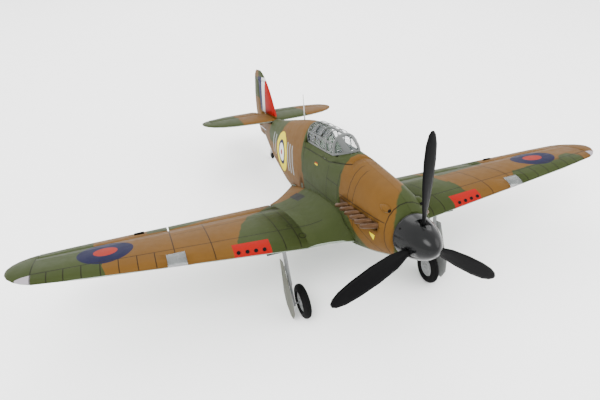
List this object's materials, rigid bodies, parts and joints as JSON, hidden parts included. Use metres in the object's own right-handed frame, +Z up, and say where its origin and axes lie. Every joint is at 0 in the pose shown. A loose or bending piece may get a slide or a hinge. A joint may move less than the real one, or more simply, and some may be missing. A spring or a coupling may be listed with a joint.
{
  "type": "radio-controlled warbird plane",
  "caption": "Low-wing foam model fighter on its wheels, with a propeller, moving control surfaces, folding main gear and a lift-off canopy hatch.",
  "frame": {"origin": "middle of the bounding box's underside, on the surface that the three wheels stand on", "axes": "+X towards the left wing tip, +Y towards the tail, +Z up; the aircraft's own level is turned 12.2 degrees nose up about X"},
  "size_m": [1.247, 0.9904, 0.4184],
  "materials": {
    "aluminium": "machined",
    "black_plastic": "gloss black",
    "blue_wrap": "shrink wrap",
    "camouflage_foam": "painted foam",
    "carbon": "carbon fibre",
    "clear_plastic": "clear plastic",
    "exhaust_bronze": "bronze paint",
    "grey_plastic": "satin grey",
    "steel": "bright steel",
    "tyre_rubber": "matt rubber",
    "underside_foam": "satin paint"
  },
  "bodies": {
    "airframe": {"fuselage_left": "camouflage_foam", "fuselage_right": "camouflage_foam", "wing_left": "camouflage_foam", "wing_right": "camouflage_foam", "wing_spar": "carbon", "stabiliser": "camouflage_foam", "fin": "camouflage_foam", "radiator_scoop": "camouflage_foam", "exhausts_left": "exhaust_bronze", "exhausts_right": "exhaust_bronze", "firewall": "carbon", "motor_mount": "aluminium", "motor_stator": "steel", "speed_controller": "black_plastic", "battery": "blue_wrap", "receiver": "black_plastic", "equipment_tray": "carbon", "antenna_mast": "grey_plastic", "landing_light_left": "clear_plastic", "landing_light_right": "clear_plastic", "retract_unit_left": "black_plastic", "retract_unit_right": "black_plastic", "servo_elevator": "black_plastic", "servo_rudder": "black_plastic", "servo_aileron_left": "black_plastic", "servo_aileron_right": "black_plastic", "servo_flap_left": "black_plastic", "servo_flap_right": "black_plastic"},
    "power_train": {"motor_bell": "aluminium", "spinner_backplate": "black_plastic", "spinner": "black_plastic", "propeller": "black_plastic", "prop_nut": "steel"},
    "elevator": {"elevator_left": "camouflage_foam", "elevator_right": "camouflage_foam", "elevator_joiner": "steel"},
    "rudder": {"rudder": "camouflage_foam"},
    "tail_fork": {"tail_fork": "steel"},
    "tail_wheel": {"tail_wheel": "tyre_rubber"},
    "hatch": {"hatch_deck": "camouflage_foam", "cockpit_tub": "black_plastic", "instrument_panel": "black_plastic", "canopy_glazing": "clear_plastic", "canopy_frame": "grey_plastic"},
    "servo_arm_elevator": {"servo_arm_elevator": "grey_plastic"},
    "servo_arm_rudder": {"servo_arm_rudder": "grey_plastic"},
    "pushrod_elevator": {"pushrod_elevator": "steel"},
    "pushrod_rudder": {"pushrod_rudder": "steel"},
    "aileron_left": {"aileron_left": "camouflage_foam"},
    "flap_left": {"flap_left": "camouflage_foam"},
    "gear_left": {"gear_leg_left": "steel", "gear_door_left": "underside_foam"},
    "wheel_left": {"tyre_left": "tyre_rubber", "wheel_hub_left": "grey_plastic"},
    "aileron_right": {"aileron_right": "camouflage_foam"},
    "flap_right": {"flap_right": "camouflage_foam"},
    "gear_right": {"gear_leg_right": "steel", "gear_door_right": "underside_foam"},
    "wheel_right": {"tyre_right": "tyre_rubber", "wheel_hub_right": "grey_plastic"}
  },
  "joints": [
    {"name": "propeller_spin", "type": "hinge", "parent": "airframe", "child": "power_train", "pos_m": [0, -0.41887, 0.2448], "axis": [0, -0.9774, 0.2113], "continuous": true},
    {"name": "aileron_left_hinge", "type": "hinge", "parent": "airframe", "child": "aileron_left", "pos_m": [0.35175, -0.12762, 0.13799], "axis": [-0.9909, 0.1025, -0.087], "range_deg": [-25, 25]},
    {"name": "flap_left_hinge", "type": "hinge", "parent": "airframe", "child": "flap_left", "pos_m": [0.124, -0.10406, 0.11799], "axis": [-0.9909, 0.1025, -0.087], "range_deg": [0, 45]},
    {"name": "aileron_right_hinge", "type": "hinge", "parent": "airframe", "child": "aileron_right", "pos_m": [-0.35175, -0.12762, 0.13799], "axis": [-0.9909, -0.1025, 0.087], "range_deg": [-25, 25]},
    {"name": "flap_right_hinge", "type": "hinge", "parent": "airframe", "child": "flap_right", "pos_m": [-0.124, -0.10406, 0.11799], "axis": [-0.9909, -0.1025, 0.087], "range_deg": [0, 45]},
    {"name": "elevator_hinge", "type": "hinge", "parent": "airframe", "child": "elevator", "pos_m": [0, 0.37469, 0.12952], "axis": [1, 0, 0], "range_deg": [-25, 25]},
    {"name": "rudder_hinge", "type": "hinge", "parent": "airframe", "child": "rudder", "pos_m": [0, 0.41127, 0.0858], "axis": [0, 0.2113, 0.9774], "range_deg": [-30, 30]},
    {"name": "tail_steering", "type": "hinge", "parent": "airframe", "child": "tail_fork", "pos_m": [0, 0.33694, 0.03537], "axis": [0, 0.2113, 0.9774], "range_deg": [-30, 30]},
    {"name": "tail_wheel_spin", "type": "hinge", "parent": "tail_fork", "child": "tail_wheel", "pos_m": [0, 0.34629, 0.01237], "axis": [1, 0, 0], "continuous": true},
    {"name": "gear_left_retract", "type": "hinge", "parent": "airframe", "child": "gear_left", "pos_m": [0.162, -0.25974, 0.14799], "axis": [0.1146, 0.9398, -0.3218], "range_deg": [0, 87.76]},
    {"name": "wheel_left_spin", "type": "hinge", "parent": "gear_left", "child": "wheel_left", "pos_m": [0.13828, -0.29486, 0.03437], "axis": [0.9986, -0.0154, -0.0497], "continuous": true},
    {"name": "gear_right_retract", "type": "hinge", "parent": "airframe", "child": "gear_right", "pos_m": [-0.162, -0.25974, 0.14799], "axis": [0.1146, -0.9398, 0.3218], "range_deg": [0, 87.76]},
    {"name": "wheel_right_spin", "type": "hinge", "parent": "gear_right", "child": "wheel_right", "pos_m": [-0.13828, -0.29486, 0.03437], "axis": [0.9986, 0.0154, 0.0497], "continuous": true},
    {"name": "hatch_lift", "type": "slide", "parent": "airframe", "child": "hatch", "axis": [0, 0.2113, 0.9774], "range_m": [0, 0.08]},
    {"name": "pushrod_elevator_slide", "type": "slide", "parent": "airframe", "child": "pushrod_elevator", "axis": [0, 0.9912, -0.1327], "range_m": [-0.0095, 0.0095]},
    {"name": "servo_arm_elevator_hinge", "type": "hinge", "parent": "airframe", "child": "servo_arm_elevator", "pos_m": [0.0072, -0.07563, 0.17142], "axis": [0, 0.2113, 0.9774], "range_deg": [-42, 42]},
    {"name": "pushrod_rudder_slide", "type": "slide", "parent": "airframe", "child": "pushrod_rudder", "axis": [0.0069, 0.9825, -0.1861], "range_m": [-0.0095, 0.0095]},
    {"name": "servo_arm_rudder_hinge", "type": "hinge", "parent": "airframe", "child": "servo_arm_rudder", "pos_m": [-0.0072, -0.07563, 0.17142], "axis": [0, 0.2113, 0.9774], "range_deg": [-42, 42]}
  ],
  "couplings": [
    {"joint": "aileron_right_hinge", "follows": "aileron_left_hinge", "ratio": -1},
    {"joint": "flap_right_hinge", "follows": "flap_left_hinge", "ratio": 1},
    {"joint": "gear_right_retract", "follows": "gear_left_retract", "ratio": 1},
    {"joint": "tail_steering", "follows": "rudder_hinge", "ratio": 1},
    {"joint": "pushrod_elevator_slide", "follows": "elevator_hinge", "m_per_rad": 0.014045},
    {"joint": "servo_arm_elevator_hinge", "follows": "elevator_hinge", "ratio": 1.2727},
    {"joint": "pushrod_rudder_slide", "follows": "rudder_hinge", "m_per_rad": -0.014805},
    {"joint": "servo_arm_rudder_hinge", "follows": "rudder_hinge", "ratio": 1.3455}
  ]
}
